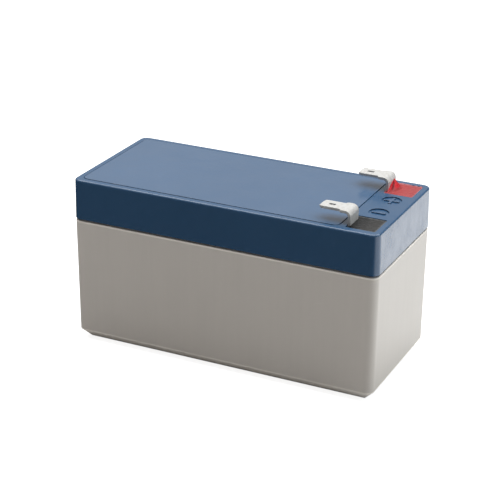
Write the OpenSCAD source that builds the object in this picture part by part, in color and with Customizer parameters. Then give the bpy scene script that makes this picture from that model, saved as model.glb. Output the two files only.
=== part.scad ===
// Small sealed lead acid battery: six cells in two rows of three, both tab terminals at one end.
// Millimetres. X runs along the case towards the terminals, Z is up, and the origin is the
// centre of the footprint on the surface that the battery stands on.

/* [Case] */
// Length of the case at the lower edge of the lid
case_length = 97; // [90:0.5:110]
// Width of the case at the lower edge of the lid
case_width = 43.5; // [42:0.5:54]
// Height of the case up to the top of the lid
case_height = 51.8; // [48:0.1:70]
// Radius of the upright corners at the lower edge of the lid
corner_radius = 2.6; // [2.4:0.1:4]
// Wall of the container at the seam
wall = 2.2; // [1.8:0.1:2.6]
// Floor of the container
floor_thickness = 2.6; // [2.2:0.1:3]
// Walls that part one cell from the next
partition = 1.5; // [1.2:0.1:2]
// How far each side of the container leans in from the seam to the base
container_draft = 0.25; // [0.2:0.05:0.9]
// Bevel along the lower edge of the container, as high as it is deep
base_bevel = 2.9; // [1.5:0.1:3.2]
// Rounding of the container's edge at the seam
seam_edge_radius = 0.3; // [0.1:0.05:0.4]
// How far the container stands in from the lid at the seam
container_inset = 0.05; // [0.05:0.05:0.4]

/* [Lid] */
// Height of the lid, skirt included
lid_height = 12.2; // [11.8:0.1:14]
// How far each side of the lid leans in from its lower edge to the top
lid_draft = 0.15; // [0.1:0.05:0.5]
// Rounding of the top edge of the lid
top_edge_radius = 0.6; // [0.4:0.1:1.2]
// Open seam between the lid and the ledge of the container
seam_gap = 0.6; // [0.3:0.1:1]
// Deck that carries the vents
deck_thickness = 2; // [1.6:0.1:2.4]
// Room between the sealed wall tops and the deck
headroom = 1.7; // [1.2:0.1:2.2]
// Roof of the terminal end
roof_thickness = 2; // [1.6:0.1:2.6]

/* [Joint between container and lid] */
// Thickness of the tongue that stands on the container wall
tongue_thickness = 1.1; // [0.9:0.1:1.3]
// Height of the tongue above the ledge
tongue_height = 3.2; // [2.8:0.1:3.6]
// Gap beside the tongue, inside the skirt of the lid
tongue_clearance = 0.15; // [0.1:0.05:0.3]
// Sealant between the wall tops and the lid
sealant_thickness = 0.5; // [0.3:0.1:0.8]

/* [Cover plate] */
// Thickness of the cover plate
cover_thickness = 1.6; // [1.2:0.1:1.8]
// How far the cover plate stands above the rim of the lid
cover_rise = 0.1; // [0.05:0.05:0.4]
// Gap round the cover plate
cover_gap = 0.25; // [0.1:0.05:0.35]
// Rim of the lid round the cover plate
rim_width = 1.95; // [1.6:0.05:2.4]
// Corner radius of the cover plate
cover_corner_radius = 2; // [1:0.1:3]
// Ledge under the edge of the cover plate
ledge_width = 1.6; // [1:0.1:1.9]
// Length of the terminal end, from the cover plate to the end of the lid
terminal_end_length = 12.5; // [12.2:0.1:14]
// Depth of the pads that hold the valve caps down
pad_height = 0.35; // [0.2:0.05:0.5]
// Diameter of those pads
pad_diameter = 4; // [3:0.5:6]
// Width of the gas channels across the ledge
gas_channel_width = 3; // [2:0.5:5]
// Depth of the gas channels
gas_channel_depth = 0.4; // [0.2:0.1:0.6]

/* [Vents] */
// Outer diameter of the vent necks
neck_diameter = 7.2; // [6.4:0.1:7.6]
// Bore of the vent necks
vent_bore = 4.5; // [3.5:0.1:5]
// Outer diameter of the valve caps
cap_diameter = 10; // [9.4:0.1:10.4]
// Top of the valve caps
cap_top_thickness = 1; // [0.8:0.1:1.2]
// Gap between a cap and its neck, all round
cap_clearance = 0.1; // [0.05:0.05:0.2]
// Gap between the skirt of a cap and the deck
cap_lift = 0.25; // [0.2:0.05:0.4]
// Bore of the round wall about each vent
vent_well_diameter = 11.5; // [11.2:0.1:12]
// Thickness of that round wall
vent_well_wall = 1; // [0.8:0.1:1.2]
// How far the vents stand from the cell centres, away from the terminals
vent_shift = 4.8; // [4.8:0.1:6]

/* [Plates] */
// Thickness of a positive plate
positive_thickness = 2; // [1.7:0.05:2.2]
// Thickness of a negative plate
negative_thickness = 1.4; // [1.1:0.05:1.6]
// Gap between the stack of plates and the walls beside it
stack_clearance = 0.2; // [0.1:0.05:0.4]
// Gap between the separators and the end walls of the cell
separator_clearance = 0.25; // [0.1:0.05:0.5]
// How far the separators stand past the edges of the plates
separator_margin = 0.9; // [0.5:0.1:1.2]
// Depth of the grid pattern in the faces of the plates
pellet_depth = 0.2; // [0.1:0.05:0.3]
// Frame round the grid pattern
plate_frame = 2; // [1.5:0.1:3]
// Bars between the fields of the grid pattern
plate_bar = 1; // [0.6:0.1:1.5]
// Height of the lugs between the plates and the strap
lug_height = 1.7; // [1.5:0.1:3]
// Width of the lugs
lug_width = 5; // [4:0.1:5.2]
// Thickness of the cast straps
strap_thickness = 2.6; // [2:0.1:3]
// Width of the cast straps
strap_width = 6; // [5.4:0.1:6.4]
// Centre of a strap from the end wall of its cell
strap_inset = 4; // [3.8:0.1:4.4]
// Width of the links between cells
link_width = 5; // [4:0.1:6]
// Gap beside a link in the notch that it crosses
notch_clearance = 0.1; // [0.05:0.05:0.2]
// Sealant over a link, in the same notch
plug_height = 0.4; // [0.3:0.1:0.6]

/* [Terminals] */
// Centre line of a terminal from the side of the case
terminal_setback = 7.25; // [7.05:0.05:7.75]
// Length of a terminal well along the case
well_length = 8.9; // [8.5:0.1:9.1]
// Width of a terminal well across the case
well_width = 9.6; // [9.2:0.1:9.8]
// Wall between a terminal well and the end of the lid
well_end_wall = 1.9; // [1.7:0.1:2.2]
// Corner radius of a terminal well
well_corner_radius = 0.6; // [0.3:0.1:1]
// Diameter of the round pocket beside each well
pocket_diameter = 5.9; // [5:0.1:6.2]
// Depth of that pocket
pocket_depth = 0.35; // [0.2:0.05:0.5]
// Centre of that pocket from the centre line of the case
pocket_offset = 5.1; // [4.8:0.1:5.6]
// Floor of a terminal well
well_floor = 1.4; // [1.2:0.1:1.8]
// Walls of a terminal well below the roof
well_wall = 1.5; // [1.2:0.1:1.8]
// How far the resin lies below the rim of its well
resin_drop = 0.2; // [0.1:0.05:0.5]
// Diameter of the lead posts
post_diameter = 5; // [4.5:0.1:5.4]
// Gap between a post and the floor of its well
post_clearance = 0.15; // [0.1:0.05:0.25]
// Diameter of the spigot on top of a post
spigot_diameter = 3.5; // [3:0.1:3.8]
// Height of the spigot above the foot of the tab
spigot_height = 0.9; // [0.7:0.1:1.2]
// Base diameter of the solder round the spigot
solder_diameter = 6; // [5.4:0.1:6.4]
// Width of the blunt top edge of the solder
solder_lip = 0.2; // [0.1:0.05:0.3]
// Outer diameter of the seal washer round a post
seal_diameter = 8; // [7.6:0.1:8.2]
// Thickness of the seal washer
seal_thickness = 0.8; // [0.5:0.1:0.9]

/* [Tabs] */
// Thickness of the tab sheet
tab_thickness = 0.8; // [0.7:0.05:0.9]
// Width of the blade that takes the push-on connector
blade_width = 4.75; // [4.6:0.05:4.8]
// Length of the blade from its tip to the shoulder
blade_length = 6.4; // [6:0.1:7]
// Width of the shoulder behind the blade
shoulder_width = 6.3; // [6:0.1:6.8]
// Length of the shoulder up to the outer face of the leg
shoulder_length = 3.6; // [2.9:0.1:4]
// Height of the top of the blade above the lid
tab_rise = 4; // [3.9:0.1:6]
// Inner radius of the bends in the tab
bend_radius = 0.9; // [0.6:0.1:1.1]
// Width of the leg at the resin, and of the foot
foot_width = 5.8; // [4.8:0.1:6]
// Length of the foot past the centre of the post
foot_reach = 3; // [2.4:0.1:3.2]
// Gap between the leg and the wall of the well
leg_gap = 0.1; // [0.05:0.05:0.2]
// Length of the latch slot in the blade
slot_length = 2; // [1.4:0.1:2.4]
// Width of the latch slot
slot_width = 1; // [0.8:0.1:1.4]
// Centre of the latch slot from the tip
slot_setback = 3.3; // [3:0.1:3.8]
// Corner radius of the tip of the blade
tip_radius = 1.3; // [0.8:0.1:1.8]
// Bevel on the two faces of the tip
tip_bevel = 0.25; // [0.15:0.05:0.3]
// Height of the resin that has crept up the positive leg
creep_height = 2.9; // [2:0.1:3.1]
// Reach of that resin out from the leg
creep_reach = 3.2; // [2.5:0.1:4]
// Width of the peak that it ends in
creep_peak = 0.4; // [0.3:0.05:0.6]
// That peak from the centre line of the leg
creep_offset = 1.6; // [0.8:0.1:1.8]

/* [Hidden] */
$fn = 48;
cells = 6;
columns = 3;
rows = 2;
positives = 3;
edge_steps = 5;
body_segments = 64;
least_corner = 0.3;
disc = 0.01;
cut = 1;

function numbered(name) = [for (n = [1:cells]) str(name, n)];
NODES = concat(
    ["container", "lid", "cover_plate", "lid_sealant"],
    numbered("valve_cap_"),
    numbered("positive_group_"),
    numbered("negative_group_"),
    numbered("separators_"),
    [for (n = [1:cells - 1]) str("cell_link_", n)],
    ["positive_tab", "negative_tab", "positive_solder", "negative_solder"],
    ["positive_seal", "negative_seal", "positive_resin", "negative_resin"]
);
node = "all";

// heights, from the base up
lid_bottom = case_height - lid_height;
container_ledge = lid_bottom - seam_gap;
wall_top = container_ledge + tongue_height;
sealant_top = wall_top + sealant_thickness;
deck_bottom = sealant_top + headroom;
deck_top = deck_bottom + deck_thickness;
cover_top = case_height + cover_rise;
cover_bottom = cover_top - cover_thickness;
cap_top = cover_bottom - pad_height;
neck_top = cap_top - cap_top_thickness;
strap_top = wall_top - plug_height;
strap_bottom = strap_top - strap_thickness;
plate_top = strap_bottom - lug_height;
well_bottom = deck_bottom + well_floor;
resin_top = case_height - resin_drop;
foot_top = well_bottom + tab_thickness;
spigot_top = foot_top + spigot_height;
tab_top = case_height + tab_rise;

// plan sizes of the case
container_length = case_length - 2 * container_inset;
container_width = case_width - 2 * container_inset;
container_radius = corner_radius - container_inset;
cavity_length = container_length - 2 * wall;
cavity_width = container_width - 2 * wall;
cavity_radius = 1;
tongue_length = cavity_length + 2 * tongue_thickness;
tongue_width = cavity_width + 2 * tongue_thickness;
tongue_radius = cavity_radius + tongue_thickness;
cell_length = (cavity_length - (columns - 1) * partition) / columns;
cell_width = (cavity_width - (rows - 1) * partition) / rows;
cell_pitch_x = cell_length + partition;
cell_pitch_y = cell_width + partition;

// cells are numbered round the case, from the front cell beside the terminals to the back one
function column(n) = n <= columns ? columns - n : n - columns - 1;
function row_side(n) = n <= columns ? -1 : 1;
function cell_x(n) = (column(n) - (columns - 1) / 2) * cell_pitch_x;
function cell_y(n) = row_side(n) * cell_pitch_y / 2;
// straps of one cell stand at opposite ends of it, and change ends with the row
function strap_x(n, polarity) =
    cell_x(n) + row_side(n) * polarity * (cell_length / 2 - strap_inset);

// stack of plates across a cell
negatives = positives + 1;
stack_width = cell_width - 2 * stack_clearance;
plates_width = positives * positive_thickness + negatives * negative_thickness;
separator_thickness = (stack_width - plates_width) / (2 * positives);
plate_pitch = positive_thickness + negative_thickness + 2 * separator_thickness;
separator_length = cell_length - 2 * separator_clearance;
plate_length = separator_length - 2 * separator_margin;
plate_bottom = floor_thickness + separator_thickness;
plate_height = plate_top - plate_bottom;
field_columns = 3;
field_rows = 4;
function plate_count(polarity) = polarity > 0 ? positives : negatives;
function plate_thickness(polarity) = polarity > 0 ? positive_thickness : negative_thickness;
function plate_y(polarity, k) = (k - (plate_count(polarity) - 1) / 2) * plate_pitch;
function strap_span(polarity) =
    (plate_count(polarity) - 1) * plate_pitch + plate_thickness(polarity);

// cover plate and the recess that it lies in
lid_top_length = case_length - 2 * lid_draft;
lid_top_width = case_width - 2 * lid_draft;
recess_start = rim_width - lid_top_length / 2;
recess_end = lid_top_length / 2 - terminal_end_length;
recess_length = recess_end - recess_start;
recess_width = lid_top_width - 2 * rim_width;
recess_x = (recess_start + recess_end) / 2;

// terminals
terminal_offset = case_width / 2 - terminal_setback;
well_end = lid_top_length / 2 - well_end_wall;
well_start = well_end - well_length;
well_x = (well_start + well_end) / 2;
leg_inner = well_start + leg_gap;
leg_outer = leg_inner + tab_thickness;
blade_start = leg_outer - shoulder_length;
blade_tip = blade_start - blade_length;
outer_bend = bend_radius + tab_thickness;
post_x = strap_x(1, -1);
foot_end = post_x + foot_reach;
hollow_start = recess_end + well_wall;

// Rectangle with rounded corners, flat on the drawing plane
module rounded_plan(length, width, radius) {
    square([length - 2 * radius, width], center = true);
    square([length, width - 2 * radius], center = true);
    for (x = [-1, 1], y = [-1, 1])
        translate([x * (length / 2 - radius), y * (width / 2 - radius)])
            circle(r = radius);
}

// Block with rounded corners, between two heights
module rounded_block(length, width, radius, bottom, top) {
    translate([0, 0, bottom])
        linear_extrude(top - bottom)
            rounded_plan(length, width, radius);
}

// Radius of the upright corners where the sides stand in
function corner_at(radius, stand_in) = max(radius - stand_in, least_corner);

// Moulded body with leaning sides: each level is a height and how far the sides stand in there
module drafted_body(length, width, radius, levels) {
    hull()
        for (level = levels, x = [-1, 1], y = [-1, 1])
            translate([
                x * (length / 2 - level[1] - corner_at(radius, level[1])),
                y * (width / 2 - level[1] - corner_at(radius, level[1])),
                level[0]
            ])
                cylinder(r = corner_at(radius, level[1]), h = disc, $fn = body_segments);
}

// Levels of a rounded upper edge, on sides that stand in by the given lean
function edge_levels(top, radius, lean) = [
    for (step = [0:edge_steps])
        let (angle = 90 * step / edge_steps)
        [top - disc - radius * (1 - cos(angle)), lean + radius * (1 - sin(angle))]
];

// Upright box about a centre line, between two heights
module centred_box(x, y, length, width, bottom, top) {
    translate([x - length / 2, y - width / 2, bottom])
        cube([length, width, top - bottom]);
}

module for_each_cell() {
    for (n = [1:cells])
        translate([cell_x(n), cell_y(n), 0])
            children();
}

// The six cell cavities, which the container, the sealant and the lid share
module cell_openings(bottom, top) {
    for_each_cell()
        rounded_block(cell_length, cell_width, cavity_radius, bottom, top);
}

// Space of one link where it crosses a wall, in a slice between two heights
module link_passage(n, width, bottom, top) {
    if (n == columns)
        centred_box(strap_x(n, 1), 0, width, partition, bottom, top);
    else
        centred_box((cell_x(n) + cell_x(n + 1)) / 2, cell_y(n), partition, width, bottom, top);
}

module container_outside() {
    base_levels = [[0, container_draft + base_bevel], [base_bevel, container_draft]];
    seam_levels = edge_levels(container_ledge, seam_edge_radius, 0);
    drafted_body(container_length, container_width, container_radius, concat(base_levels, seam_levels));
}

// One moulding: floor, leaning walls, partitions and the tongue that enters the lid
module container() {
    color("#d3d0ca")
        difference() {
            union() {
                container_outside();
                rounded_block(tongue_length, tongue_width, tongue_radius, container_ledge - cut, wall_top);
            }
            cell_openings(floor_thickness, wall_top + cut);
            for (n = [1:cells - 1])
                link_passage(n, link_width + 2 * notch_clearance, strap_bottom, wall_top + cut);
        }
}

module lid_outside() {
    top_levels = edge_levels(case_height, top_edge_radius, lid_draft);
    drafted_body(case_length, case_width, corner_radius, concat([[lid_bottom, 0]], top_levels));
}

module vent_places() {
    for (n = [1:cells])
        translate([cell_x(n) - vent_shift, cell_y(n), 0])
            children();
}

// Recess of the cover plate, with the chamber, ribs and round vent walls below it
module vent_chamber() {
    chamber_length = recess_length - 2 * ledge_width;
    chamber_width = recess_width - 2 * ledge_width;
    translate([recess_x, 0, 0])
        rounded_block(recess_length, recess_width, cover_corner_radius, cover_bottom, case_height + cut);
    difference() {
        translate([recess_x, 0, 0])
            rounded_block(chamber_length, chamber_width, cavity_radius, deck_top, cover_bottom + cut);
        centred_box(recess_x, 0, recess_length, partition, deck_top - cut, cover_bottom);
        for (x = [-1, 1])
            centred_box(x * cell_pitch_x / 2, 0, partition, recess_width, deck_top - cut, cover_bottom);
        vent_places()
            translate([0, 0, deck_top - cut])
                cylinder(d = vent_well_diameter + 2 * vent_well_wall, h = cover_bottom - deck_top + cut);
    }
    vent_places() {
        difference() {
            translate([0, 0, deck_top])
                cylinder(d = vent_well_diameter, h = cover_bottom - deck_top + cut);
            translate([0, 0, deck_top - cut])
                cylinder(d = neck_diameter, h = neck_top - deck_top + cut);
        }
        translate([0, 0, deck_bottom - cut])
            cylinder(d = vent_bore, h = neck_top - deck_bottom + 2 * cut);
    }
    // channels that let gas out under the edge of the cover plate
    for (x = [-1, 1], y = [-1, 1])
        centred_box(x * cell_pitch_x, y * (recess_width - ledge_width) / 2, gas_channel_width,
                    ledge_width + disc, cover_bottom - gas_channel_depth, cover_bottom + cut);
}

module well_block(bottom, top) {
    for (y = [-1, 1])
        translate([well_x, y * terminal_offset, 0])
            rounded_block(well_length, well_width, well_corner_radius, bottom, top);
}

// Hollows under the roof of the terminal end, beside the centre rib
module end_hollows() {
    inner = partition / 2;
    outer = terminal_offset - well_width / 2 - well_wall;
    for (y = [-1, 1])
        centred_box((hollow_start + cavity_length / 2) / 2, y * (inner + outer) / 2,
                    cavity_length / 2 - hollow_start, outer - inner,
                    deck_bottom - cut, case_height - roof_thickness);
}

// Round pockets in the roof of the terminal end, one beside each well
module pockets() {
    for (y = [-1, 1])
        translate([well_x, y * pocket_offset, case_height - pocket_depth])
            cylinder(d = pocket_diameter, h = pocket_depth + cut);
}

// One moulding: skirt, deck, vent necks, recess, ribs and the two terminal wells
module lid() {
    color("#2d4c70")
        difference() {
            lid_outside();
            rounded_block(tongue_length + 2 * tongue_clearance, tongue_width + 2 * tongue_clearance,
                          tongue_radius + tongue_clearance, lid_bottom - cut, sealant_top);
            cell_openings(sealant_top - cut, deck_bottom);
            vent_chamber();
            end_hollows();
            well_block(well_bottom, case_height + cut);
            pockets();
            for (y = [-1, 1])
                translate([post_x, y * terminal_offset, 0]) {
                    translate([0, 0, deck_bottom - cut])
                        cylinder(d = post_diameter + 2 * post_clearance, h = well_floor + 2 * cut);
                    translate([0, 0, well_bottom - seal_thickness])
                        cylinder(d = seal_diameter, h = seal_thickness + cut);
                }
        }
}

// Flat plate that closes the vent chamber, with a pad over each valve cap
module cover_plate() {
    color("#33547b")
        union() {
            translate([recess_x, 0, 0])
                rounded_block(recess_length - 2 * cover_gap, recess_width - 2 * cover_gap,
                              cover_corner_radius - cover_gap, cover_bottom, cover_top);
            vent_places()
                translate([0, 0, cap_top])
                    cylinder(d = pad_diameter, h = pad_height + cover_thickness / 2);
        }
}

// Sealant bed on the tops of the walls, with a plug over each link
module lid_sealant() {
    color("#4c4f54")
        union() {
            difference() {
                rounded_block(tongue_length, tongue_width, tongue_radius, wall_top, sealant_top);
                cell_openings(wall_top - cut, sealant_top + cut);
            }
            for (n = [1:cells - 1])
                link_passage(n, link_width + 2 * notch_clearance, strap_top, sealant_top);
        }
}

// Rubber cap that seals a vent neck and lifts its skirt to let gas out
module valve_cap(n) {
    neck_fit = neck_diameter / 2 + cap_clearance;
    translate([cell_x(n) - vent_shift, cell_y(n), 0])
        color("#26282b")
            rotate_extrude()
                polygon([
                    [0, neck_top], [neck_fit, neck_top], [neck_fit, deck_top + cap_lift],
                    [cap_diameter / 2, deck_top + cap_lift], [cap_diameter / 2, cap_top], [0, cap_top]
                ]);
}

// Pasted plate with its grid pattern, standing across the cell
module pasted_plate(thickness) {
    field_length = (plate_length - 2 * plate_frame - (field_columns - 1) * plate_bar) / field_columns;
    field_height = (plate_height - 2 * plate_frame - (field_rows - 1) * plate_bar) / field_rows;
    difference() {
        centred_box(0, 0, plate_length, thickness, plate_bottom, plate_top);
        for (column = [0:field_columns - 1], row = [0:field_rows - 1], side = [-1, 1])
            translate([
                (column - (field_columns - 1) / 2) * (field_length + plate_bar),
                side * thickness / 2,
                plate_bottom + plate_frame + field_height / 2 + row * (field_height + plate_bar)
            ])
                cube([field_length, 2 * pellet_depth, field_height], center = true);
    }
}

// Plates of one polarity in one cell, joined by the strap cast on their lugs
module plate_group(n, polarity) {
    strap_centre = strap_x(n, polarity) - cell_x(n);
    thickness = plate_thickness(polarity);
    translate([cell_x(n), cell_y(n), 0]) {
        for (k = [0:plate_count(polarity) - 1])
            translate([0, plate_y(polarity, k), 0]) {
                pasted_plate(thickness);
                centred_box(strap_centre, 0, lug_width, thickness,
                            plate_top - plate_frame / 2, strap_bottom + strap_thickness / 2);
            }
        centred_box(strap_centre, 0, strap_width, strap_span(polarity), strap_bottom, strap_top);
    }
}

// Lead post that rises from an end strap, with a spigot through the foot of the tab
module terminal_post(y) {
    root = strap_top - strap_thickness / 2;
    translate([post_x, y, root])
        cylinder(d = post_diameter, h = well_bottom - root);
    translate([0, y, 0])
        spigot(strap_top, spigot_top);
}

module positive_group(n) {
    color("#5b4238")
        union() {
            plate_group(n, 1);
            if (n == cells)
                terminal_post(terminal_offset);
        }
}

module negative_group(n) {
    color("#7c8085")
        union() {
            plate_group(n, -1);
            if (n == 1)
                terminal_post(-terminal_offset);
        }
}

// Glass mat folded round the lower edge of each positive plate
module separators(n) {
    fold_width = positive_thickness + 2 * separator_thickness;
    mat_top = plate_top + separator_margin;
    translate([cell_x(n), cell_y(n), 0])
        color("#eceae4")
            for (k = [0:positives - 1])
                translate([-separator_length / 2, plate_y(1, k), 0])
                    rotate([90, 0, 90])
                        linear_extrude(separator_length)
                            difference() {
                                union() {
                                    translate([-fold_width / 2, floor_thickness + separator_thickness])
                                        square([fold_width, mat_top - floor_thickness - separator_thickness]);
                                    translate([-positive_thickness / 2, floor_thickness])
                                        square([positive_thickness, 2 * separator_thickness]);
                                    for (side = [-1, 1])
                                        translate([side * positive_thickness / 2,
                                                   floor_thickness + separator_thickness])
                                            circle(r = separator_thickness);
                                }
                                translate([-positive_thickness / 2, plate_bottom])
                                    square([positive_thickness, mat_top]);
                            }
}

// Lead bar from the positive strap of one cell to the negative strap of the next
module cell_link(n) {
    along_row = partition + 2 * strap_inset - strap_width;
    front_end = cell_y(n) + strap_span(1) / 2;
    back_end = cell_y(n + 1) - strap_span(-1) / 2;
    color("#8c9095")
        if (n == columns)
            centred_box(strap_x(n, 1), (front_end + back_end) / 2, link_width, back_end - front_end,
                        strap_bottom, strap_top);
        else
            centred_box((cell_x(n) + cell_x(n + 1)) / 2, cell_y(n), along_row, link_width,
                        strap_bottom, strap_top);
}

// Quarter of a bent strip about its own centre
module strip_bend() {
    intersection() {
        difference() {
            circle(r = outer_bend);
            circle(r = bend_radius);
        }
        square(outer_bend);
    }
}

// Side view of the tab: bevelled blade, bend, leg, bend and foot
module tab_side() {
    blade_bottom = tab_top - tab_thickness;
    polygon([
        [blade_tip, blade_bottom + tip_bevel], [blade_tip + 2 * tip_bevel, blade_bottom],
        [leg_outer - outer_bend, blade_bottom], [leg_outer - outer_bend, tab_top],
        [blade_tip + 2 * tip_bevel, tab_top], [blade_tip, tab_top - tip_bevel]
    ]);
    translate([leg_outer - outer_bend, tab_top - outer_bend])
        strip_bend();
    translate([leg_inner, well_bottom + outer_bend])
        square([tab_thickness, tab_top - well_bottom - 2 * outer_bend]);
    translate([leg_inner + outer_bend, well_bottom + outer_bend])
        rotate(180)
            strip_bend();
    translate([leg_inner + outer_bend, well_bottom])
        square([foot_end - leg_inner - outer_bend, tab_thickness]);
}

// Plan of the tab: rounded tip, blade, shoulder and foot
module tab_plan() {
    translate([blade_tip + tip_radius, -blade_width / 2])
        square([blade_length, blade_width]);
    translate([blade_tip, tip_radius - blade_width / 2])
        square([2 * tip_radius, blade_width - 2 * tip_radius]);
    for (y = [-1, 1])
        translate([blade_tip + tip_radius, y * (blade_width / 2 - tip_radius)])
            circle(r = tip_radius);
    translate([(blade_start + foot_end) / 2, 0])
        rounded_plan(foot_end - blade_start, shoulder_width, bend_radius);
}

// Outline of the tab seen along the case: wide above, narrow from the resin down
module tab_front() {
    waist = case_height;
    polygon([
        [-foot_width / 2, well_bottom - cut], [foot_width / 2, well_bottom - cut],
        [foot_width / 2, waist], [shoulder_width / 2, waist + outer_bend],
        [shoulder_width / 2, tab_top + cut], [-shoulder_width / 2, tab_top + cut],
        [-shoulder_width / 2, waist + outer_bend], [-foot_width / 2, waist]
    ]);
}

// Folded sheet with a latch slot in the blade and a hole in the foot for the spigot
module tab_form() {
    difference() {
        intersection() {
            translate([0, case_width / 2, 0])
                rotate([90, 0, 0])
                    linear_extrude(case_width)
                        tab_side();
            linear_extrude(tab_top + cut)
                tab_plan();
            rotate([90, 0, 90])
                linear_extrude(case_length)
                    tab_front();
        }
        translate([blade_tip + slot_setback, 0, tab_top - tab_thickness - cut])
            linear_extrude(tab_thickness + 2 * cut)
                rounded_plan(slot_length, slot_width, slot_width / 4);
        spigot(well_bottom - cut, foot_top + cut);
    }
}

module positive_tab() {
    color("#d9d6cf")
        translate([0, terminal_offset, 0])
            tab_form();
}

module negative_tab() {
    color("#d9d6cf")
        translate([0, -terminal_offset, 0])
            tab_form();
}

// Solder cone round a spigot, with its base on the foot of the tab
module solder_cone() {
    translate([post_x, 0, foot_top])
        rotate_extrude()
            polygon([
                [0, 0], [solder_diameter / 2, 0],
                [spigot_diameter / 2 + solder_lip, spigot_height], [0, spigot_height]
            ]);
}

module spigot(bottom, top) {
    translate([post_x, 0, bottom])
        cylinder(d = spigot_diameter, h = top - bottom);
}

module solder(y) {
    color("#b9bbbe")
        translate([0, y, 0])
            difference() {
                solder_cone();
                spigot(foot_top - cut, spigot_top + cut);
            }
}

module positive_solder() {
    solder(terminal_offset);
}

module negative_solder() {
    solder(-terminal_offset);
}

// Flat rubber washer round the post, in the floor of the well
module seal(y) {
    translate([post_x, y, well_bottom - seal_thickness])
        color("#1d1e20")
            difference() {
                cylinder(d = seal_diameter, h = seal_thickness);
                translate([0, 0, -cut])
                    cylinder(d = post_diameter, h = seal_thickness + 2 * cut);
            }
}

module positive_seal() {
    seal(terminal_offset);
}

module negative_seal() {
    seal(-terminal_offset);
}

// Resin that fills a terminal well round the tab, the solder and the spigot
module resin_fill() {
    difference() {
        translate([well_x, 0, 0])
            rounded_block(well_length, well_width, well_corner_radius, well_bottom, resin_top);
        tab_form();
        spigot(well_bottom - cut, spigot_top);
        solder_cone();
    }
}

// Resin that has crept up the outer face of the positive leg before it set
module resin_creep() {
    difference() {
        hull() {
            translate([leg_outer, -foot_width / 2, resin_top - disc])
                cube([creep_reach, foot_width, disc]);
            translate([leg_outer, creep_offset - creep_peak / 2, resin_top + creep_height])
                cube([creep_peak / 2, creep_peak, disc]);
        }
        tab_form();
    }
}

module positive_resin() {
    color("#c2504e")
        translate([0, terminal_offset, 0])
            union() {
                resin_fill();
                resin_creep();
            }
}

module negative_resin() {
    color("#4f5154")
        translate([0, -terminal_offset, 0])
            resin_fill();
}

function shown(name) = node == "all" || node == name;

if (shown("container")) container();
if (shown("lid")) lid();
if (shown("cover_plate")) cover_plate();
if (shown("lid_sealant")) lid_sealant();
for (n = [1:cells]) {
    if (shown(str("valve_cap_", n))) valve_cap(n);
    if (shown(str("positive_group_", n))) positive_group(n);
    if (shown(str("negative_group_", n))) negative_group(n);
    if (shown(str("separators_", n))) separators(n);
}
for (n = [1:cells - 1])
    if (shown(str("cell_link_", n))) cell_link(n);
if (shown("positive_tab")) positive_tab();
if (shown("negative_tab")) negative_tab();
if (shown("positive_solder")) positive_solder();
if (shown("negative_solder")) negative_solder();
if (shown("positive_seal")) positive_seal();
if (shown("negative_seal")) negative_seal();
if (shown("positive_resin")) positive_resin();
if (shown("negative_resin")) negative_resin();
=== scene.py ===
import math

import bmesh
import bpy
from mathutils import Matrix, Vector, noise


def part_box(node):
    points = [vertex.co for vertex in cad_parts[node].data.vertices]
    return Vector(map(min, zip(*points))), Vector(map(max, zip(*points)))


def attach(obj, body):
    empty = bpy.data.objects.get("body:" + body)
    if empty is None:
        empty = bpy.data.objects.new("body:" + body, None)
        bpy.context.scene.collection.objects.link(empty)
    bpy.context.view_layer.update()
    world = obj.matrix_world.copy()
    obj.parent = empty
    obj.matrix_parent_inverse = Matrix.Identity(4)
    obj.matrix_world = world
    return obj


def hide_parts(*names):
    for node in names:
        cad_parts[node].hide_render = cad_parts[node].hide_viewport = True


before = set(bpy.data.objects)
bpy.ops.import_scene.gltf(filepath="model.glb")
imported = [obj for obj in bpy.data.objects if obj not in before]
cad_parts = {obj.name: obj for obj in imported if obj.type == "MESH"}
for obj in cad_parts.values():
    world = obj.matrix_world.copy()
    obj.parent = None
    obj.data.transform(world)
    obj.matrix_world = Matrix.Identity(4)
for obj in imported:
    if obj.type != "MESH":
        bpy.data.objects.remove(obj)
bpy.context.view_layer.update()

MM = 0.001

# Camera, found from the outline and the top of the battery in the photograph
CAMERA_PLACE = (0.184594, -0.389256, 0.215740)
CAMERA_TURN = 25.411
CAMERA_DIP = 23.3065
CAMERA_ROLL = 0.5464
FOCAL_PIXELS = 1566.4
FRAME_PIXELS = 500
SENSOR_WIDTH = 36

# Resin in the terminal wells
GRID_STEP = 0.12 * MM
RESIN_DROP = 0.2 * MM
RESIN_SAG = 0.1 * MM
MENISCUS_HEIGHT = 0.2 * MM
MENISCUS_WIDTH = 0.4 * MM
LEG_GAP = 0.1 * MM
LEG_THICKNESS = 0.8 * MM
LEG_WIDTH = 5.8 * MM
MOUND_HEIGHT = 2.85 * MM
MOUND_OFFSET = 1.6 * MM
MOUND_OUT = 2.7 * MM
MOUND_FRONT = 6.4 * MM
MOUND_BACK = 2.3 * MM
MOUND_NORM = 1.35
FOLD_RATE = 2.8
FOLD_START = 0.5
VOID_DEPTH = 1.2 * MM
VOID_RADIUS = 0.9 * MM

# Raised polarity signs in the round pockets of the terminal end
POCKET_OFFSET = 5.1 * MM
POCKET_DEPTH = 0.35 * MM
SIGN_HALF_WIDTH = 0.42 * MM
SIGN_ROUNDING = 0.1 * MM
PLUS_HALF_LENGTH = 2.3 * MM
MINUS_HALF_LENGTH = 2.1 * MM

# Finish, with a painted highlight under the lid seam and painted light on the base bevel of the container
COAT_ROUGHNESS = 0.16
SEAM_HIGHLIGHT_LEVEL = 38.7 * MM
BASE_BEVEL_LIGHT_LEVEL = 3.0 * MM
PAINTED_BAND_WIDTH = 0.45 * MM
SEAM_HIGHLIGHT_GAIN = 0.35
BASE_BEVEL_LIGHT_GAIN = 0.4

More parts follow.
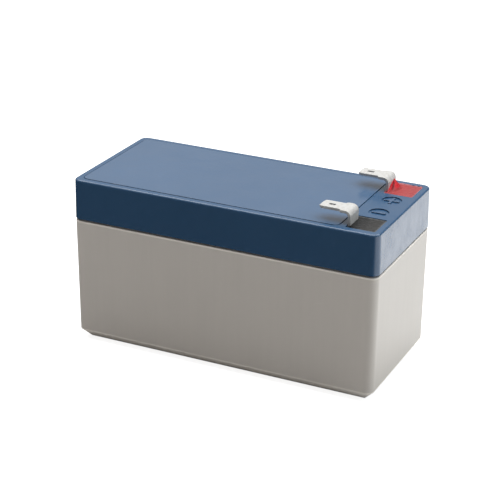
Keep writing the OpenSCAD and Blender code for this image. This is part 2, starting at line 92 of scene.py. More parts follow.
# Studio
FLOOR_SIZE = 8
FLOOR_COLOUR = (0.5, 0.5, 0.5)
FLOOR_GLOW = 0.84
ROOM_LIGHT = 0.2
PALE_WALL_SIDE = (-0.39, 0.83, 0.40)
PALE_WALL_LIGHT = 0.3

# Bevels that the moulds and the press leave on edges
CASE_BEVEL = 0.14 * MM
LID_BEVEL = 0.05 * MM
TAB_BEVEL = 0.07 * MM


def node_group(name, inputs, outputs):
    """Empty shader node group with named number, colour or vector sockets."""
    group = bpy.data.node_groups.new(name, "ShaderNodeTree")
    kinds = {"number": "NodeSocketFloat", "colour": "NodeSocketColor", "vector": "NodeSocketVector"}
    for label, kind, value in inputs:
        socket = group.interface.new_socket(name=label, in_out="INPUT", socket_type=kinds[kind])
        if value is not None:
            socket.default_value = value
    for label, kind in outputs:
        group.interface.new_socket(name=label, in_out="OUTPUT", socket_type=kinds[kind])
    entry = group.nodes.new("NodeGroupInput")
    leave = group.nodes.new("NodeGroupOutput")
    return group, entry, leave


class Sheet:
    """Adds nodes to a tree and links them by short calls."""

    def __init__(self, tree):
        self.tree = tree

    def add(self, kind, links=None, **settings):
        made = self.tree.nodes.new(kind)
        for key, value in settings.items():
            setattr(made, key, value)
        for label, value in (links or {}).items():
            socket = made.inputs[label]
            if isinstance(value, bpy.types.NodeSocket):
                self.tree.links.new(value, socket)
            else:
                socket.default_value = value
        return made

    def math(self, operation, *values, clamp=False):
        made = self.tree.nodes.new("ShaderNodeMath")
        made.operation = operation
        made.use_clamp = clamp
        for socket, value in zip(made.inputs, values):
            if isinstance(value, bpy.types.NodeSocket):
                self.tree.links.new(value, socket)
            else:
                socket.default_value = value
        return made.outputs[0]

    def noise(self, vector, scale, detail=3.0, roughness=0.5, distortion=0.0):
        made = self.add("ShaderNodeTexNoise", {
            "Vector": vector, "Scale": scale, "Detail": detail, "Roughness": roughness, "Distortion": distortion,
        })
        return made.outputs["Fac"]

    def ramp(self, value, low, high):
        made = self.add("ShaderNodeMapRange", {"Value": value, "From Min": low, "From Max": high})
        made.interpolation_type = "SMOOTHSTEP"
        return made.outputs["Result"]

    def mix_colour(self, factor, first, second):
        made = self.tree.nodes.new("ShaderNodeMix")
        made.data_type = "RGBA"
        for label, value in ((0, factor), (6, first), (7, second)):
            socket = made.inputs[label]
            if isinstance(value, bpy.types.NodeSocket):
                self.tree.links.new(value, socket)
            else:
                socket.default_value = value
        return made.outputs[2]

    def group(self, tree, links):
        made = self.tree.nodes.new("ShaderNodeGroup")
        made.node_tree = tree
        for label, value in links.items():
            socket = made.inputs[label]
            if isinstance(value, bpy.types.NodeSocket):
                self.tree.links.new(value, socket)
            else:
                socket.default_value = value
        return made.outputs


def make_mould_grain():
    """Fine satin texture of a moulded face, with a slow drift in tone and gloss."""
    group, entry, leave = node_group(
        "Mould grain",
        [("Colour", "colour", (0.5, 0.5, 0.5, 1)), ("Drift", "number", 0.05), ("Gloss", "number", 0.4),
         ("Gloss spread", "number", 0.06), ("Grain scale", "number", 2500.0)],
        [("Colour", "colour"), ("Roughness", "number"), ("Height", "number")],
    )
    sheet = Sheet(group)
    place = sheet.add("ShaderNodeTexCoord").outputs["Object"]
    slow = sheet.noise(place, 28.0, 2.0)
    cloud = sheet.noise(place, 140.0, 4.0, 0.6)
    fine = sheet.noise(place, entry.outputs["Grain scale"], 2.0, 0.6)
    tone = sheet.math("ADD", sheet.math("MULTIPLY", sheet.math("SUBTRACT", slow, 0.5), 1.4),
                      sheet.math("MULTIPLY", sheet.math("SUBTRACT", cloud, 0.5), 0.6))
    gain = sheet.math("MULTIPLY_ADD", tone, sheet.math("MULTIPLY", entry.outputs["Drift"], 2.0), 1.0)
    colour = sheet.add("ShaderNodeVectorMath", {0: entry.outputs["Colour"]}, operation="SCALE")
    group.links.new(gain, colour.inputs["Scale"])
    gloss = sheet.math("MULTIPLY_ADD", sheet.math("SUBTRACT", cloud, 0.5),
                       sheet.math("MULTIPLY", entry.outputs["Gloss spread"], 2.0), entry.outputs["Gloss"])
    group.links.new(colour.outputs[0], leave.inputs["Colour"])
    group.links.new(gloss, leave.inputs["Roughness"])
    group.links.new(sheet.math("MULTIPLY_ADD", slow, 0.6, fine), leave.inputs["Height"])
    return group


def make_scuffs():
    """Sparse fine scratches and rub marks as a mask."""
    group, entry, leave = node_group(
        "Scuffs",
        [("Amount", "number", 0.5), ("Length", "number", 14.0)],
        [("Mask", "number")],
    )
    sheet = Sheet(group)
    place = sheet.add("ShaderNodeTexCoord").outputs["Object"]
    masks = []
    for turn, scale in ((0.35, 900.0), (-1.1, 1300.0)):
        lie = sheet.add("ShaderNodeMapping", {"Vector": place, "Rotation": (0.2, 0.1, turn)})
        stretch = sheet.add("ShaderNodeCombineXYZ", {"X": entry.outputs["Length"], "Y": scale, "Z": scale})
        drawn = sheet.add("ShaderNodeVectorMath", {0: lie.outputs[0], 1: stretch.outputs[0]},
                          operation="MULTIPLY")
        lines = sheet.noise(drawn.outputs[0], 1.0, 1.0, 0.4)
        masks.append(sheet.ramp(lines, 0.68, 0.75))
    where = sheet.ramp(sheet.noise(place, 60.0, 2.0), 0.52, 0.7)
    both = sheet.math("MAXIMUM", masks[0], masks[1])
    group.links.new(
        sheet.math("MULTIPLY", sheet.math("MULTIPLY", both, where), entry.outputs["Amount"], clamp=True),
        leave.inputs["Mask"],
    )
    return group


def make_wall_streaks_and_painted_light():
    """Masks for a container wall: upright streaks, a painted highlight band under the seam and painted light on the
    base bevel.
    """
    group, entry, leave = node_group(
        "Wall streaks and painted light",
        [("Seam", "number", 0.039), ("Base", "number", 0.0029), ("Rim", "number", 0.0005),
         ("Streak scale", "number", 900.0)],
        [("Seam highlight", "number"), ("Base bevel light", "number"), ("Streaks", "number")],
    )
    sheet = Sheet(group)
    place = sheet.add("ShaderNodeTexCoord").outputs["Object"]
    height = sheet.add("ShaderNodeSeparateXYZ", {"Vector": place}).outputs["Z"]
    off_seam = sheet.math("ABSOLUTE", sheet.math("SUBTRACT", height, entry.outputs["Seam"]))
    over_base = sheet.math("SUBTRACT", height, entry.outputs["Base"])
    # painted highlight band at the seam, and painted light on and below the base bevel
    for label, off in (("Seam highlight", off_seam), ("Base bevel light", over_base)):
        near = sheet.math("DIVIDE", off, entry.outputs["Rim"])
        group.links.new(sheet.ramp(near, 1.0, 0.0), leave.inputs[label])
    stretch = sheet.add("ShaderNodeCombineXYZ", {
        "X": entry.outputs["Streak scale"], "Y": entry.outputs["Streak scale"], "Z": 25.0,
    })
    drawn = sheet.add("ShaderNodeVectorMath", {0: place, 1: stretch.outputs[0]}, operation="MULTIPLY")
    group.links.new(sheet.noise(drawn.outputs[0], 1.0, 3.0, 0.6), leave.inputs["Streaks"])
    return group


def make_haze():
    """Uneven haze of handled glossy plastic, as upright streaks and clouds."""
    group, entry, leave = node_group("Haze", [("Low", "number", 0.0), ("High", "number", 1.0)], [("Weight", "number")])
    sheet = Sheet(group)
    place = sheet.add("ShaderNodeTexCoord").outputs["Object"]
    lie = sheet.add("ShaderNodeMapping", {"Vector": place, "Rotation": (0.25, 0.0, 0.0), "Scale": (240.0, 300.0, 110.0)})
    streaks = sheet.noise(lie.outputs[0], 1.0, 3.0, 0.65, 0.4)
    clouds = sheet.noise(place, 150.0, 3.0, 0.6)
    both = sheet.ramp(sheet.math("MULTIPLY_ADD", clouds, 0.5, sheet.math("MULTIPLY", streaks, 0.5)), 0.32, 0.68)
    spread = sheet.math("SUBTRACT", entry.outputs["High"], entry.outputs["Low"])
    group.links.new(sheet.math("MULTIPLY_ADD", both, spread, entry.outputs["Low"]), leave.inputs["Weight"])
    return group


def make_pool_border_and_glint():
    """Uneven pale border of a poured pool along the walls of its well: the thinned edge of the red resin, and a
    painted glint on the dark resin's wet meniscus.
    """
    group, entry, leave = node_group(
        "Pool border and glint",
        [("Centre X", "number", 0.042), ("Centre Y", "number", 0.0145), ("Half length", "number", 0.0044),
         ("Half width", "number", 0.0048), ("Border", "number", 0.0005)],
        [("Mask", "number"), ("Far side", "number")],
    )
    sheet = Sheet(group)
    place = sheet.add("ShaderNodeTexCoord").outputs["Object"]
    parts = sheet.add("ShaderNodeSeparateXYZ", {"Vector": place}).outputs
    along = sheet.math("SUBTRACT", parts["X"], entry.outputs["Centre X"])
    across = sheet.math("SUBTRACT", parts["Y"], entry.outputs["Centre Y"])
    end_gap = sheet.math("SUBTRACT", entry.outputs["Half length"], sheet.math("ABSOLUTE", along))
    side_gap = sheet.math("SUBTRACT", entry.outputs["Half width"], sheet.math("ABSOLUTE", across))
    gap = sheet.math("DIVIDE", sheet.math("MINIMUM", end_gap, side_gap), entry.outputs["Border"])
    ragged = sheet.math("MULTIPLY_ADD", sheet.noise(place, 1400.0, 3.0, 0.6), 1.6, sheet.math("SUBTRACT", gap, 0.8))
    group.links.new(sheet.ramp(ragged, 1.0, 0.0), leave.inputs["Mask"])
    # Far side: 0 at the leg end of the well, 1 at the far end; it carries the painted shade near the leg
    far = sheet.math("DIVIDE", along, entry.outputs["Half length"])
    group.links.new(sheet.ramp(far, -1.0, 0.9), leave.inputs["Far side"])
    return group


def make_mound_crest_shading():
    """Painted light on the crests and painted shade in the hollows that run down from the peak of the resin on a leg,
    as a mask of 1 and 0.
    """
    group, entry, leave = node_group(
        "Mound crest shading",
        [("Leg X", "number", 0.0385), ("Peak Y", "number", 0.0161), ("Reach", "number", 0.0027),
         ("Width", "number", 0.0064)],
        [("Crest", "number")],
    )
    sheet = Sheet(group)
    place = sheet.add("ShaderNodeTexCoord").outputs["Object"]
    parts = sheet.add("ShaderNodeSeparateXYZ", {"Vector": place}).outputs
    out = sheet.math("ABSOLUTE", sheet.math("SUBTRACT", parts["X"], entry.outputs["Leg X"]))
    across = sheet.math("ABSOLUTE", sheet.math("SUBTRACT", parts["Y"], entry.outputs["Peak Y"]))
    turn = sheet.math("ARCTAN2", sheet.math("DIVIDE", across, entry.outputs["Width"]),
                      sheet.math("DIVIDE", out, entry.outputs["Reach"]))
    wave = sheet.math("ABSOLUTE", sheet.math("SINE", sheet.math("MULTIPLY_ADD", turn, FOLD_RATE, FOLD_START)))
    ragged = sheet.math("MULTIPLY_ADD", sheet.noise(place, 900.0, 2.0), 0.5, wave)
    group.links.new(sheet.ramp(ragged, 0.55, 1.15), leave.inputs["Crest"])
    return group


MOULD_GRAIN = make_mould_grain()
SCUFFS = make_scuffs()
MOUND_CREST_SHADING = make_mound_crest_shading()
WALL_STREAKS_AND_PAINTED_LIGHT = make_wall_streaks_and_painted_light()
HAZE = make_haze()
POOL_BORDER_AND_GLINT = make_pool_border_and_glint()


def new_material(name):
    """Material with its shader, as (material, sheet, shader)."""
    material = bpy.data.materials.new(name)
    material.use_nodes = True
    tree = material.node_tree
    shader = tree.nodes["Principled BSDF"]
    return material, Sheet(tree), shader


def set_shader(shader, **values):
    for label, value in values.items():
        shader.inputs[label.replace("_", " ")].default_value = value


def bump(sheet, shader, height, depth, strength=1.0):
    made = sheet.add("ShaderNodeBump", {"Height": height, "Distance": depth, "Strength": strength})
    sheet.tree.links.new(made.outputs["Normal"], shader.inputs["Normal"])


def moulded_plastic(name, colour, gloss, drift, scuff_gain, coat):
    """Satin moulded plastic with grain, tone drift and light scuffs."""
    material, sheet, shader = new_material(name)
    grain = sheet.group(MOULD_GRAIN, {
        "Colour": (*colour, 1), "Drift": drift, "Gloss": gloss, "Gloss spread": 0.05, "Grain scale": 2600.0,
    })
    scuffs = sheet.group(SCUFFS, {"Amount": scuff_gain, "Length": 60.0})["Mask"]
    pale = tuple(min(1.0, channel * 1.5 + 0.04) for channel in colour)
    sheet.tree.links.new(sheet.mix_colour(scuffs, grain["Colour"], (*pale, 1)), shader.inputs["Base Color"])
    sheet.tree.links.new(sheet.math("MULTIPLY_ADD", scuffs, 0.2, grain["Roughness"]), shader.inputs["Roughness"])
    bump(sheet, shader, grain["Height"], 0.000006, 0.6)
    haze = sheet.group(HAZE, {"Low": coat[0], "High": coat[1]})
    sheet.tree.links.new(haze["Weight"], shader.inputs["Coat Weight"])
    set_shader(shader, IOR=1.5, Coat_Roughness=COAT_ROUGHNESS)
    return material


def container_plastic(name, colour, gloss):
    """Grey container plastic: grain, upright streaks, a painted highlight under the seam and painted light on the base
    bevel.
    """
    material, sheet, shader = new_material(name)
    grain = sheet.group(MOULD_GRAIN, {
        "Colour": (*colour, 1), "Drift": 0.02, "Gloss": gloss, "Gloss spread": 0.05, "Grain scale": 2600.0,
    })
    marks = sheet.group(WALL_STREAKS_AND_PAINTED_LIGHT, {
        "Seam": SEAM_HIGHLIGHT_LEVEL, "Base": BASE_BEVEL_LIGHT_LEVEL, "Rim": PAINTED_BAND_WIDTH, "Streak scale": 500.0,
    })
    gain = sheet.math("MULTIPLY_ADD", sheet.math("SUBTRACT", marks["Streaks"], 0.5), 0.06, 1.0)
    # painted highlight: the colour is raised in a band under the seam
    gain = sheet.math("MULTIPLY_ADD", marks["Seam highlight"], SEAM_HIGHLIGHT_GAIN, gain)
    # painted light: the colour is raised on the base bevel and below it
    gain = sheet.math("MULTIPLY_ADD", marks["Base bevel light"], BASE_BEVEL_LIGHT_GAIN, gain)
    toned = sheet.add("ShaderNodeVectorMath", {0: grain["Colour"]}, operation="SCALE")
    sheet.tree.links.new(gain, toned.inputs["Scale"])
    scuffs = sheet.group(SCUFFS, {"Amount": 0.1, "Length": 60.0})["Mask"]
    sheet.tree.links.new(sheet.mix_colour(scuffs, toned.outputs[0], (0.9, 0.87, 0.83, 1)),
                         shader.inputs["Base Color"])
    sheet.tree.links.new(sheet.math("MULTIPLY_ADD", scuffs, 0.2, grain["Roughness"]), shader.inputs["Roughness"])
    bump(sheet, shader, grain["Height"], 0.000006, 0.6)
    set_shader(shader, IOR=1.5)
    return material


def tinned_metal(name):
    """Tin plated sheet: pale, softly grained, with faint rub marks."""
    material, sheet, shader = new_material(name)
    place = sheet.add("ShaderNodeTexCoord").outputs["Object"]
    lie = sheet.add("ShaderNodeMapping", {"Vector": place, "Scale": (300.0, 3600.0, 3600.0)})
    brushed = sheet.noise(lie.outputs[0], 1.0, 3.0, 0.6)
    cloud = sheet.noise(place, 900.0, 3.0, 0.55)
    scuffs = sheet.group(SCUFFS, {"Amount": 0.7, "Length": 240.0})["Mask"]
    tone = sheet.mix_colour(sheet.ramp(cloud, 0.35, 0.7), (0.59, 0.58, 0.56, 1), (0.52, 0.5, 0.47, 1))
    sheet.tree.links.new(sheet.mix_colour(scuffs, tone, (0.5, 0.45, 0.38, 1)), shader.inputs["Base Color"])
    sheet.tree.links.new(sheet.math("MULTIPLY_ADD", cloud, 0.2, 0.36), shader.inputs["Roughness"])
    bump(sheet, shader, sheet.math("ADD", brushed, cloud), 0.000008, 0.5)
    set_shader(shader, Metallic=0.12)
    return material


def cast_resin(name, side, colours, border_width, speck_gain, gloss, ior):
    """Poured resin: a hazy pool, darker towards the leg in the dark pool as painted shade, with a pale border that is
    the thinned resin edge on the red pool and a painted glint on the dark pool's meniscus, and where it climbs the leg
    painted shade in the hollows and painted light on the crests of its folds.
    """
    hollow_shade_colour, crest_light_colour, near, far, border = colours
    material, sheet, shader = new_material(name)
    place = sheet.add("ShaderNodeTexCoord").outputs["Object"]
    height = sheet.add("ShaderNodeSeparateXYZ", {"Vector": place}).outputs["Z"]
    low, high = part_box(side + "_resin")
    pool = sheet.group(POOL_BORDER_AND_GLINT, {
        "Centre X": (low[0] + high[0]) / 2, "Centre Y": (low[1] + high[1]) / 2,
        "Half length": (high[0] - low[0]) / 2, "Half width": (high[1] - low[1]) / 2, "Border": border_width,
    })
    cloud = sheet.noise(place, 700.0, 4.0, 0.6)
    lie = sheet.add("ShaderNodeMapping", {"Vector": place, "Rotation": (0, 0, 0.6), "Scale": (800.0, 2200.0, 800.0)})
    specks = sheet.ramp(sheet.noise(lie.outputs[0], 1.0, 3.0, 0.7), 0.46, 0.66)
    # darker towards the leg: painted shade in the dark pool; in the red pool only a slight shift in tone
    flat = sheet.mix_colour(sheet.math("MULTIPLY_ADD", cloud, 0.3, sheet.math("MULTIPLY", pool["Far side"], 0.85)),
                            (*near, 1), (*far, 1))
    # pale border: the thinned edge on the red pool, a painted glint on the dark pool's meniscus
    flat = sheet.mix_colour(sheet.math("MULTIPLY", pool["Mask"], 0.75), flat, (*border, 1))
    # painted shade in the hollows and painted light on the crests where the resin climbs the leg
    folds = sheet.group(MOUND_CREST_SHADING, {
        "Leg X": low[0] + LEG_GAP + LEG_THICKNESS, "Peak Y": (low[1] + high[1]) / 2 + MOUND_OFFSET,
        "Reach": MOUND_OUT, "Width": MOUND_FRONT,
    })["Crest"]
    climb_shading = sheet.mix_colour(folds, (*hollow_shade_colour, 1), (*crest_light_colour, 1))
    tone = sheet.mix_colour(sheet.ramp(height, POOL_LEVEL + 0.2 * MM, POOL_LEVEL + 0.8 * MM), flat, climb_shading)
    sheet.tree.links.new(sheet.mix_colour(sheet.math("MULTIPLY", specks, speck_gain), tone, (*border, 1)),
                         shader.inputs["Base Color"])
    sheet.tree.links.new(sheet.math("MULTIPLY_ADD", cloud, 0.2, gloss), shader.inputs["Roughness"])
    bump(sheet, shader, sheet.math("MULTIPLY_ADD", specks, 0.6, cloud), 0.0001, 0.7)
    set_shader(shader, IOR=ior)
    return material


def plain_grained(name, colour, gloss, metallic, scale, depth):
    """Finish of a piece sealed inside: one colour, broken up by a grain."""
    material, sheet, shader = new_material(name)
    place = sheet.add("ShaderNodeTexCoord").outputs["Object"]
    grain = sheet.noise(place, scale, 4.0, 0.65)
    dark = tuple(channel * 0.7 for channel in colour)
    light = tuple(min(1.0, channel * 1.2) for channel in colour)
    sheet.tree.links.new(sheet.mix_colour(grain, (*dark, 1), (*light, 1)), shader.inputs["Base Color"])
    sheet.tree.links.new(sheet.math("MULTIPLY_ADD", grain, 0.2, gloss), shader.inputs["Roughness"])
    bump(sheet, shader, grain, depth, 0.7)
    set_shader(shader, Metallic=metallic)
    return material


POOL_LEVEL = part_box("lid")[1][2] - RESIN_DROP

CASE_PLASTIC = container_plastic("Container plastic", (0.71, 0.653, 0.59), 0.4)
LID_PLASTIC = moulded_plastic("Lid plastic", (0.03, 0.088, 0.18), 0.24, 0.05, 0.1, (0.2, 0.55))
COVER_PLASTIC = moulded_plastic("Cover plate plastic", (0.033, 0.096, 0.197), 0.36, 0.05, 0.15, (0.8, 1.0))
TIN = tinned_metal("Tinned sheet")
# Resin colours are (hollow, crest, near the leg, away from the leg, border): hollow and crest are painted shade and
# painted light, the dark resin's near-leg colour is painted shade and its border colour a painted glint
RED_RESIN = cast_resin(
    "Red resin", "positive",
    ((0.2, 0.002, 0.006), (0.62, 0.016, 0.026), (0.38, 0.04, 0.04), (0.35, 0.055, 0.055), (0.4, 0.17, 0.19)),
    0.6 * MM, 0.12, 0.25, 1.25)
DARK_RESIN = cast_resin(
    "Dark resin", "negative",
    ((0.004, 0.004, 0.004), (0.02, 0.02, 0.02), (0.001, 0.001, 0.001), (0.036, 0.034, 0.032), (0.14, 0.145, 0.15)),
    0.8 * MM, 0.2, 0.4, 1.26)
RUBBER = plain_grained("Black rubber", (0.02, 0.02, 0.022), 0.6, 0.0, 3000.0, 0.00001)
LEAD = plain_grained("Cast lead", (0.28, 0.29, 0.31), 0.45, 1.0, 1200.0, 0.00004)
SOLDER = plain_grained("Solder", (0.6, 0.6, 0.61), 0.25, 1.0, 900.0, 0.00003)
POSITIVE_PASTE = plain_grained("Positive paste", (0.13, 0.06, 0.04), 0.8, 0.0, 2200.0, 0.00003)
NEGATIVE_PASTE = plain_grained("Negative paste", (0.24, 0.25, 0.27), 0.7, 0.0, 2200.0, 0.00003)
GLASS_MAT = plain_grained("Glass mat", (0.82, 0.81, 0.78), 0.9, 0.0, 4200.0, 0.00005)
SEALANT = plain_grained("Sealant", (0.09, 0.1, 0.11), 0.45, 0.0, 1500.0, 0.00002)

FINISHES = {
    "container": CASE_PLASTIC,
    "lid": LID_PLASTIC,
    "cover_plate": COVER_PLASTIC,
    "lid_sealant": SEALANT,
    "valve_cap": RUBBER,
    "positive_group": POSITIVE_PASTE,
    "negative_group": NEGATIVE_PASTE,
    "separators": GLASS_MAT,
    "cell_link": LEAD,
    "positive_tab": TIN,
    "negative_tab": TIN,
    "positive_solder": SOLDER,
    "negative_solder": SOLDER,
    "positive_seal": RUBBER,
    "negative_seal": RUBBER,
    "positive_resin": RED_RESIN,
    "negative_resin": DARK_RESIN,
}


def finish_of(node_name):
    for start, material in FINISHES.items():
        if node_name == start or node_name.startswith(start + "_"):
            return material
    raise ValueError("no finish for " + node_name)


def paint_nodes():
    for node_name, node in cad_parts.items():
        material = finish_of(node_name)
        for holder in node.material_slots:
            holder.link = "OBJECT"
            holder.material = material


def soften_edges(node_name, width, angle):
    """Welds the node's faces, bevels its sharp edges and smooths its shading."""
    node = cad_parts[node_name]
    weld = node.modifiers.new("weld", "WELD")
    weld.merge_threshold = 0.002 * MM
    flatten = node.modifiers.new("flat faces", "DECIMATE")
    flatten.decimate_type = "DISSOLVE"
    flatten.angle_limit = math.radians(0.05)
    bevel = node.modifiers.new("edge", "BEVEL")
    bevel.width = width
    bevel.segments = 2
    bevel.limit_method = "ANGLE"
    bevel.angle_limit = math.radians(angle)
    bevel.use_clamp_overlap = True
    normals = node.modifiers.new("normals", "WEIGHTED_NORMAL")
    normals.keep_sharp = False
    normals.weight = 80


def new_piece(name, points, faces, material):
    """Mesh piece in the row frame, smooth shaded, fixed to the battery."""
    mesh = bpy.data.meshes.new(name)
    mesh.from_pydata(points, [], faces)
    mesh.update()
    for face in mesh.polygons:
        face.use_smooth = True
    mesh.materials.append(material)
    piece = bpy.data.objects.new(name, mesh)
    bpy.context.scene.collection.objects.link(piece)
    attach(piece, "root")
    return piece


def resin_height(x, y, well, leg, level, creep):
    """Height of the poured surface: sag, uneven meniscus at the walls, and creep on the leg."""
    low, high = well
    to_wall = max(0.0, min(x - low[0], high[0] - x, y - low[1], high[1] - y))
    climb = 1 + 1.2 * noise.noise(Vector((x, y, level)) * 1100)
    height = level - RESIN_SAG * (1 - math.exp(-to_wall / (3 * MENISCUS_WIDTH)))
    height += MENISCUS_HEIGHT * climb * math.exp(-to_wall / MENISCUS_WIDTH)
    height += 0.07 * MM * noise.noise(Vector((x, y, level)) * 700)
    return height + creep(x, y, leg)


def positive_creep(x, y, leg):
    """Tent of resin drawn up the outer face of the positive leg, with folds that run down from its peak."""
    out = x - leg[1][0]
    across = y - (leg[0][1] + leg[1][1]) / 2 - MOUND_OFFSET
    along = abs(out) / (MOUND_OUT if out > 0 else LEG_THICKNESS)
    aside = abs(across) / (MOUND_BACK if across > 0 else MOUND_FRONT)
    slope = (along ** MOUND_NORM + aside ** MOUND_NORM) ** (1 / MOUND_NORM)
    folds = abs(math.sin(FOLD_RATE * math.atan2(aside, along) + FOLD_START))
    ripple = noise.noise(Vector((x, y, 0)) * 900)
    rise = max(0.0, 1 - slope) * (1 - 0.35 * (1 - folds) * min(1.0, 2 * slope)) * (1 + 0.1 * ripple)
    return MOUND_HEIGHT * rise


def negative_creep(x, y, leg):
    """Low fillet on the negative leg, and the void that the resin left beside it."""
    low, high = leg
    inside = low[1] < y < high[1]
    fillet = 0.35 * MM * math.exp(-abs(x - high[0]) / (0.4 * MM)) if inside else 0.0
    across = math.hypot(x - low[0] - 0.3 * MM, y - low[1] + 1.0 * MM)
    return fillet - VOID_DEPTH * math.exp(-(across / VOID_RADIUS) ** 2)


def pour_resin(side, material, creep):
    """Resin in one well, as a closed mesh that stands for the CAD solid."""
    node_name = side + "_resin"
    low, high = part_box(node_name)
    tab_low, tab_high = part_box(side + "_tab")
    lid_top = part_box("lid")[1][2]
    level = lid_top - RESIN_DROP
    leg_inner = low[0] + LEG_GAP
    middle = (tab_low[1] + tab_high[1]) / 2
    leg = ((leg_inner, middle - LEG_WIDTH / 2), (leg_inner + LEG_THICKNESS, middle + LEG_WIDTH / 2))
    columns = int(round((high[0] - low[0]) / GRID_STEP))
    rows = int(round((high[1] - low[1]) / GRID_STEP))
    points = []
    for row in range(rows + 1):
        y = low[1] + (high[1] - low[1]) * row / rows
        for column in range(columns + 1):
            x = low[0] + (high[0] - low[0]) * column / columns
            height = resin_height(x, y, (low, high), leg, level, creep)
            points.append((x, y, min(height, high[2])))
    wide = columns + 1
    faces = [
        (row * wide + column, row * wide + column + 1, (row + 1) * wide + column + 1, (row + 1) * wide + column)
        for row in range(rows) for column in range(columns)
    ]
    border = list(range(columns))
    border += [row * wide + columns for row in range(rows)]
    border += [rows * wide + columns - column for column in range(columns)]
    border += [(rows - row) * wide for row in range(rows)]
    first = len(points)
    points += [(points[k][0], points[k][1], low[2]) for k in border]
    count = len(border)
    for k in range(count):
        after = (k + 1) % count
        faces.append((border[k], first + k, first + after, border[after]))
    faces.append(tuple(first + count - 1 - k for k in range(count)))
    piece = new_piece(side + "_resin_pour", points, faces, material)
    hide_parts(node_name)
    return piece


def bar_outline(half_length, half_width):
    """Corners of the minus sign."""
    return [(half_length, half_width), (-half_length, half_width),
            (-half_length, -half_width), (half_length, -half_width)]


def cross_outline(half_length, half_width):
    """Corners of the plus sign."""
    arm = [(half_length, -half_width), (half_length, half_width), (half_width, half_width)]
    corners = []
    for turn in range(4):
        corners += arm
        arm = [(-y, x) for x, y in arm]
    return corners


def raised_sign(name, outline, y, floor, top):
    """Raised sign with rounded edges, standing on the floor of its pocket."""
    low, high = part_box("negative_resin")
    x = (low[0] + high[0]) / 2
    body = bmesh.new()
    base = [body.verts.new((x + across, y + along, floor)) for across, along in outline]
    bottom = body.faces.new(base)
    lifted = bmesh.ops.extrude_face_region(body, geom=[bottom])["geom"]
    raised = [part for part in lifted if isinstance(part, bmesh.types.BMVert)]
    bmesh.ops.translate(body, verts=raised, vec=(0, 0, top - floor))
    bmesh.ops.recalc_face_normals(body, faces=body.faces)
    rounded = [edge for edge in body.edges if any(vertex in raised for vertex in edge.verts)]
    bmesh.ops.bevel(body, geom=rounded, offset=SIGN_ROUNDING, segments=3, profile=0.5, affect="EDGES")
    mesh = bpy.data.meshes.new(name)
    body.to_mesh(mesh)
    body.free()
    mesh.materials.append(LID_PLASTIC)
    piece = bpy.data.objects.new(name, mesh)
    bpy.context.scene.collection.objects.link(piece)
    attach(piece, "root")


def mark_terminals():
    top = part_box("lid")[1][2]
    floor = top - POCKET_DEPTH
    plus = cross_outline(PLUS_HALF_LENGTH, SIGN_HALF_WIDTH)
    minus = bar_outline(MINUS_HALF_LENGTH, SIGN_HALF_WIDTH)
    raised_sign("positive_sign", plus, POCKET_OFFSET, floor, top)
    raised_sign("negative_sign", minus, -POCKET_OFFSET, floor, top)


def backdrop_rays(sheet):
    """1 for rays that show the backdrop as it is: from the camera and through glass."""
    path = sheet.add("ShaderNodeLightPath").outputs
    return sheet.math("MAXIMUM", path["Is Camera Ray"], path["Is Transmission Ray"]), path["Is Glossy Ray"]


def make_floor():
    """Pale floor that shows nearly white, keeps the shadow, and shines less on the shaded side."""
    material = bpy.data.materials.new("Studio floor")
    material.use_nodes = True
    tree = material.node_tree
    tree.nodes.remove(tree.nodes["Principled BSDF"])
    sheet = Sheet(tree)
    direct, glossy = backdrop_rays(sheet)
    place = sheet.add("ShaderNodeSeparateXYZ", {"Vector": sheet.add("ShaderNodeTexCoord").outputs["Object"]})
    away = sheet.math("ADD", place.outputs["X"], place.outputs["Y"])
    lit_side = sheet.ramp(away, 0.0, 0.1)
    glow = sheet.math("MAXIMUM", sheet.math("MULTIPLY", direct, FLOOR_GLOW),
                      sheet.math("MULTIPLY", glossy, lit_side))
    unlit = sheet.math("MULTIPLY", glossy, sheet.math("SUBTRACT", 1.0, lit_side))
    matt = sheet.add("ShaderNodeBsdfDiffuse", {"Color": sheet.mix_colour(unlit, (*FLOOR_COLOUR, 1), (0, 0, 0, 1))})
    shine = sheet.add("ShaderNodeEmission", {"Color": (1, 1, 1, 1), "Strength": glow})
    both = sheet.add("ShaderNodeAddShader", {0: matt.outputs[0], 1: shine.outputs[0]})
    tree.links.new(both.outputs[0], tree.nodes["Material Output"].inputs["Surface"])
    mesh = bpy.data.meshes.new("studio_floor")
    half = FLOOR_SIZE / 2
    mesh.from_pydata([(-half, -half, 0), (half, -half, 0), (half, half, 0), (-half, half, 0)], [], [(0, 1, 2, 3)])
    mesh.materials.append(material)
    floor = bpy.data.objects.new("studio_floor", mesh)
    bpy.context.scene.collection.objects.link(floor)


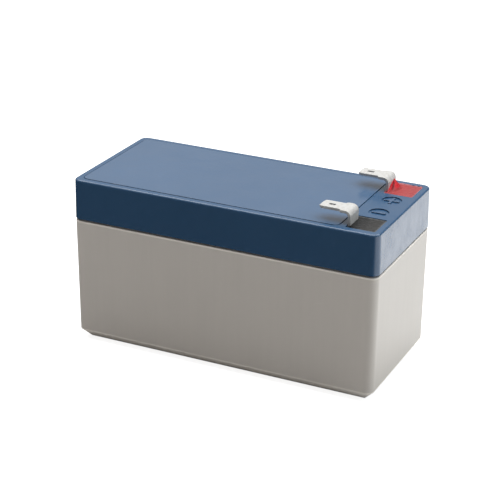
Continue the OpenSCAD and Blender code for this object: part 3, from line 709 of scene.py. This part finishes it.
def make_world():
    """White to the camera; a dim room with a paler wall at the back left as a source of light."""
    world = bpy.data.worlds.new("Studio")
    bpy.context.scene.world = world
    world.use_nodes = True
    sheet = Sheet(world.node_tree)
    direct, glossy = backdrop_rays(sheet)
    towards = sheet.add("ShaderNodeTexCoord").outputs["Generated"]
    facing = sheet.add("ShaderNodeVectorMath", {0: towards, 1: PALE_WALL_SIDE}, operation="DOT_PRODUCT")
    wall = sheet.math("MULTIPLY", sheet.ramp(facing.outputs["Value"], 0.75, 1.0), PALE_WALL_LIGHT)
    room = sheet.math("ADD", wall, ROOM_LIGHT)
    back = world.node_tree.nodes["Background"]
    back.inputs["Color"].default_value = (1, 1, 1, 1)
    world.node_tree.links.new(sheet.math("MAXIMUM", direct, room), back.inputs["Strength"])


def soft_lamp(name, place, target, size, power, tint):
    lamp = bpy.data.lights.new(name, "AREA")
    lamp.shape = "RECTANGLE"
    lamp.size = size[0]
    lamp.size_y = size[1]
    lamp.energy = power
    lamp.color = tint
    holder = bpy.data.objects.new(name, lamp)
    holder.location = place
    holder.rotation_euler = (Vector(place) - Vector(target)).to_track_quat("Z", "Y").to_euler()
    bpy.context.scene.collection.objects.link(holder)


def light_studio():
    middle = (0, 0, 0.03)
    soft_lamp("overhead softbox", (-0.05, 0.22, 0.9), middle, (1.5, 1.0), 16.5, (0.985, 0.993, 1.0))
    soft_lamp("right softbox", (0.8, 0.2, 0.5), middle, (0.5, 0.5), 1.75, (0.76, 0.91, 1.0))


def place_camera():
    lens = bpy.data.cameras.new("camera")
    lens.sensor_width = SENSOR_WIDTH
    lens.lens = FOCAL_PIXELS / FRAME_PIXELS * SENSOR_WIDTH
    lens.clip_start = 0.01
    holder = bpy.data.objects.new("camera", lens)
    holder.matrix_world = (
        Matrix.Translation(CAMERA_PLACE)
        @ Matrix.Rotation(math.radians(CAMERA_TURN), 4, "Z")
        @ Matrix.Rotation(math.radians(90 - CAMERA_DIP), 4, "X")
        @ Matrix.Rotation(math.radians(CAMERA_ROLL), 4, "Z")
    )
    bpy.context.scene.collection.objects.link(holder)
    bpy.context.scene.camera = holder


paint_nodes()
soften_edges("container", CASE_BEVEL, 40)
for moulded in ("lid", "cover_plate"):
    soften_edges(moulded, LID_BEVEL, 40)
for tab in ("positive_tab", "negative_tab"):
    soften_edges(tab, TAB_BEVEL, 40)
pour_resin("positive", RED_RESIN, positive_creep)
pour_resin("negative", DARK_RESIN, negative_creep)
mark_terminals()
make_floor()
make_world()
light_studio()
place_camera()
bpy.context.scene.view_settings.view_transform = "Standard"
